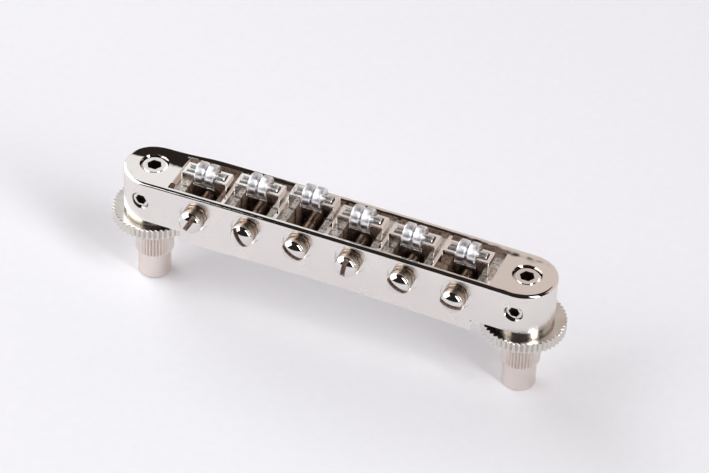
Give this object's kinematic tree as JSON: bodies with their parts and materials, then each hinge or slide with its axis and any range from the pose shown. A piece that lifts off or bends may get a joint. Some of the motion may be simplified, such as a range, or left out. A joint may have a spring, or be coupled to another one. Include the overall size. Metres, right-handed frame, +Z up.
{
  "type": "electric guitar bridge",
  "caption": "Roller-saddle electric guitar bridge: a plated body with adjustable saddles on knurled thumbwheel posts in splined bushings, with lock screws.",
  "frame": {"origin": "the middle of the part's box at the level of the bushings' feet, midway between the two posts and 0.79 mm in front of the line that joins them", "axes": "+X along the bridge, +Y towards the tailpiece side away from the screw heads, +Z up"},
  "size_m": [0.09, 0.0174, 0.0301],
  "materials": {
    "nickel_body": "bright nickel plate, mirror polished",
    "nickel_saddle": "bright nickel plate",
    "steel_axle": "polished steel pin",
    "steel_roller": "satin turned steel",
    "nickel_screw": "bright nickel plate",
    "spring_steel_clip": "plain spring steel",
    "nickel_bushing": "satin nickel plate",
    "nickel_wheel": "bright nickel plate, knurled edge",
    "nickel_post": "bright nickel plate",
    "nickel_lock_screw": "nickel plate"
  },
  "bodies": {
    "bridge_body": {"bridge_body": "nickel_body"},
    "intonation_screw_1": {"intonation_screw_1": "nickel_screw", "screw_clip_1": "spring_steel_clip"},
    "saddle_1": {"saddle_1": "nickel_saddle", "axle_1": "steel_axle"},
    "roller_1": {"roller_1": "steel_roller"},
    "intonation_screw_2": {"intonation_screw_2": "nickel_screw", "screw_clip_2": "spring_steel_clip"},
    "saddle_2": {"saddle_2": "nickel_saddle", "axle_2": "steel_axle"},
    "roller_2": {"roller_2": "steel_roller"},
    "intonation_screw_3": {"intonation_screw_3": "nickel_screw", "screw_clip_3": "spring_steel_clip"},
    "saddle_3": {"saddle_3": "nickel_saddle", "axle_3": "steel_axle"},
    "roller_3": {"roller_3": "steel_roller"},
    "intonation_screw_4": {"intonation_screw_4": "nickel_screw", "screw_clip_4": "spring_steel_clip"},
    "saddle_4": {"saddle_4": "nickel_saddle", "axle_4": "steel_axle"},
    "roller_4": {"roller_4": "steel_roller"},
    "intonation_screw_5": {"intonation_screw_5": "nickel_screw", "screw_clip_5": "spring_steel_clip"},
    "saddle_5": {"saddle_5": "nickel_saddle", "axle_5": "steel_axle"},
    "roller_5": {"roller_5": "steel_roller"},
    "intonation_screw_6": {"intonation_screw_6": "nickel_screw", "screw_clip_6": "spring_steel_clip"},
    "saddle_6": {"saddle_6": "nickel_saddle", "axle_6": "steel_axle"},
    "roller_6": {"roller_6": "steel_roller"},
    "post_left": {"post_left": "nickel_post", "thumbwheel_left": "nickel_wheel"},
    "bushing_left": {"bushing_left": "nickel_bushing"},
    "lock_screw_left": {"lock_screw_left": "nickel_lock_screw"},
    "post_right": {"post_right": "nickel_post", "thumbwheel_right": "nickel_wheel"},
    "bushing_right": {"bushing_right": "nickel_bushing"},
    "lock_screw_right": {"lock_screw_right": "nickel_lock_screw"}
  },
  "joints": [
    {"name": "intonation_screw_1_turn", "type": "hinge", "parent": "bridge_body", "child": "intonation_screw_1", "pos_m": [-0.02585, -0.00511, 0.02135], "axis": [0, 1, 0], "range_deg": [-2430, 1620]},
    {"name": "saddle_1_travel", "type": "slide", "parent": "bridge_body", "child": "saddle_1", "axis": [0, 1, 0], "range_m": [-0.00225, 0.00337]},
    {"name": "roller_1_spin", "type": "hinge", "parent": "saddle_1", "child": "roller_1", "pos_m": [-0.02585, 0.00015, 0.02725], "axis": [1, 0, 0], "continuous": true},
    {"name": "intonation_screw_2_turn", "type": "hinge", "parent": "bridge_body", "child": "intonation_screw_2", "pos_m": [-0.01551, -0.00511, 0.02183], "axis": [0, 1, 0], "range_deg": [-1980, 2160]},
    {"name": "saddle_2_travel", "type": "slide", "parent": "bridge_body", "child": "saddle_2", "axis": [0, 1, 0], "range_m": [-0.003, 0.00275]},
    {"name": "roller_2_spin", "type": "hinge", "parent": "saddle_2", "child": "roller_2", "pos_m": [-0.01551, 0.00079, 0.02773], "axis": [1, 0, 0], "continuous": true},
    {"name": "intonation_screw_3_turn", "type": "hinge", "parent": "bridge_body", "child": "intonation_screw_3", "pos_m": [-0.00517, -0.00511, 0.02207], "axis": [0, 1, 0], "range_deg": [-1170, 2880]},
    {"name": "saddle_3_travel", "type": "slide", "parent": "bridge_body", "child": "saddle_3", "axis": [0, 1, 0], "range_m": [-0.004, 0.00162]},
    {"name": "roller_3_spin", "type": "hinge", "parent": "saddle_3", "child": "roller_3", "pos_m": [-0.00517, 0.00183, 0.02797], "axis": [1, 0, 0], "continuous": true},
    {"name": "intonation_screw_4_turn", "type": "hinge", "parent": "bridge_body", "child": "intonation_screw_4", "pos_m": [0.00517, -0.00511, 0.02207], "axis": [0, 1, 0], "range_deg": [-2340, 1710]},
    {"name": "saddle_4_travel", "type": "slide", "parent": "bridge_body", "child": "saddle_4", "axis": [0, 1, 0], "range_m": [-0.00237, 0.00325]},
    {"name": "roller_4_spin", "type": "hinge", "parent": "saddle_4", "child": "roller_4", "pos_m": [0.00517, 0.00019, 0.02797], "axis": [1, 0, 0], "continuous": true},
    {"name": "intonation_screw_5_turn", "type": "hinge", "parent": "bridge_body", "child": "intonation_screw_5", "pos_m": [0.01551, -0.00511, 0.02183], "axis": [0, 1, 0], "range_deg": [-2700, 1350]},
    {"name": "saddle_5_travel", "type": "slide", "parent": "bridge_body", "child": "saddle_5", "axis": [0, 1, 0], "range_m": [-0.00187, 0.00375]},
    {"name": "roller_5_spin", "type": "hinge", "parent": "saddle_5", "child": "roller_5", "pos_m": [0.01551, -0.00024, 0.02773], "axis": [1, 0, 0], "continuous": true},
    {"name": "intonation_screw_6_turn", "type": "hinge", "parent": "bridge_body", "child": "intonation_screw_6", "pos_m": [0.02585, -0.00511, 0.02135], "axis": [0, 1, 0], "range_deg": [-2430, 1620]},
    {"name": "saddle_6_travel", "type": "slide", "parent": "bridge_body", "child": "saddle_6", "axis": [0, 1, 0], "range_m": [-0.00225, 0.00337]},
    {"name": "roller_6_spin", "type": "hinge", "parent": "saddle_6", "child": "roller_6", "pos_m": [0.02585, 0.00015, 0.02725], "axis": [1, 0, 0], "continuous": true},
    {"name": "post_left_turn", "type": "hinge", "parent": "bridge_body", "child": "post_left", "pos_m": [-0.037, 0.00079, 0.01335], "axis": [0, 0, 1], "range_deg": [0, 2880]},
    {"name": "bushing_left_travel", "type": "slide", "parent": "bridge_body", "child": "bushing_left", "axis": [0, 0, -1], "range_m": [0, 0.0056]},
    {"name": "lock_screw_left_back_off", "type": "slide", "parent": "bridge_body", "child": "lock_screw_left", "axis": [0, -1, 0], "range_m": [0, 0.001]},
    {"name": "post_right_turn", "type": "hinge", "parent": "bridge_body", "child": "post_right", "pos_m": [0.037, 0.00079, 0.01335], "axis": [0, 0, 1], "range_deg": [0, 2880]},
    {"name": "bushing_right_travel", "type": "slide", "parent": "bridge_body", "child": "bushing_right", "axis": [0, 0, -1], "range_m": [0, 0.0056]},
    {"name": "lock_screw_right_back_off", "type": "slide", "parent": "bridge_body", "child": "lock_screw_right", "axis": [0, -1, 0], "range_m": [0, 0.001]}
  ],
  "couplings": [
    {"joint": "intonation_screw_1_turn", "follows": "saddle_1_travel", "rad_per_m": -12566},
    {"joint": "intonation_screw_2_turn", "follows": "saddle_2_travel", "rad_per_m": -12566},
    {"joint": "intonation_screw_3_turn", "follows": "saddle_3_travel", "rad_per_m": -12566},
    {"joint": "intonation_screw_4_turn", "follows": "saddle_4_travel", "rad_per_m": -12566},
    {"joint": "intonation_screw_5_turn", "follows": "saddle_5_travel", "rad_per_m": -12566},
    {"joint": "intonation_screw_6_turn", "follows": "saddle_6_travel", "rad_per_m": -12566},
    {"joint": "post_left_turn", "follows": "bushing_left_travel", "rad_per_m": 8976},
    {"joint": "post_right_turn", "follows": "bushing_right_travel", "rad_per_m": 8976}
  ]
}
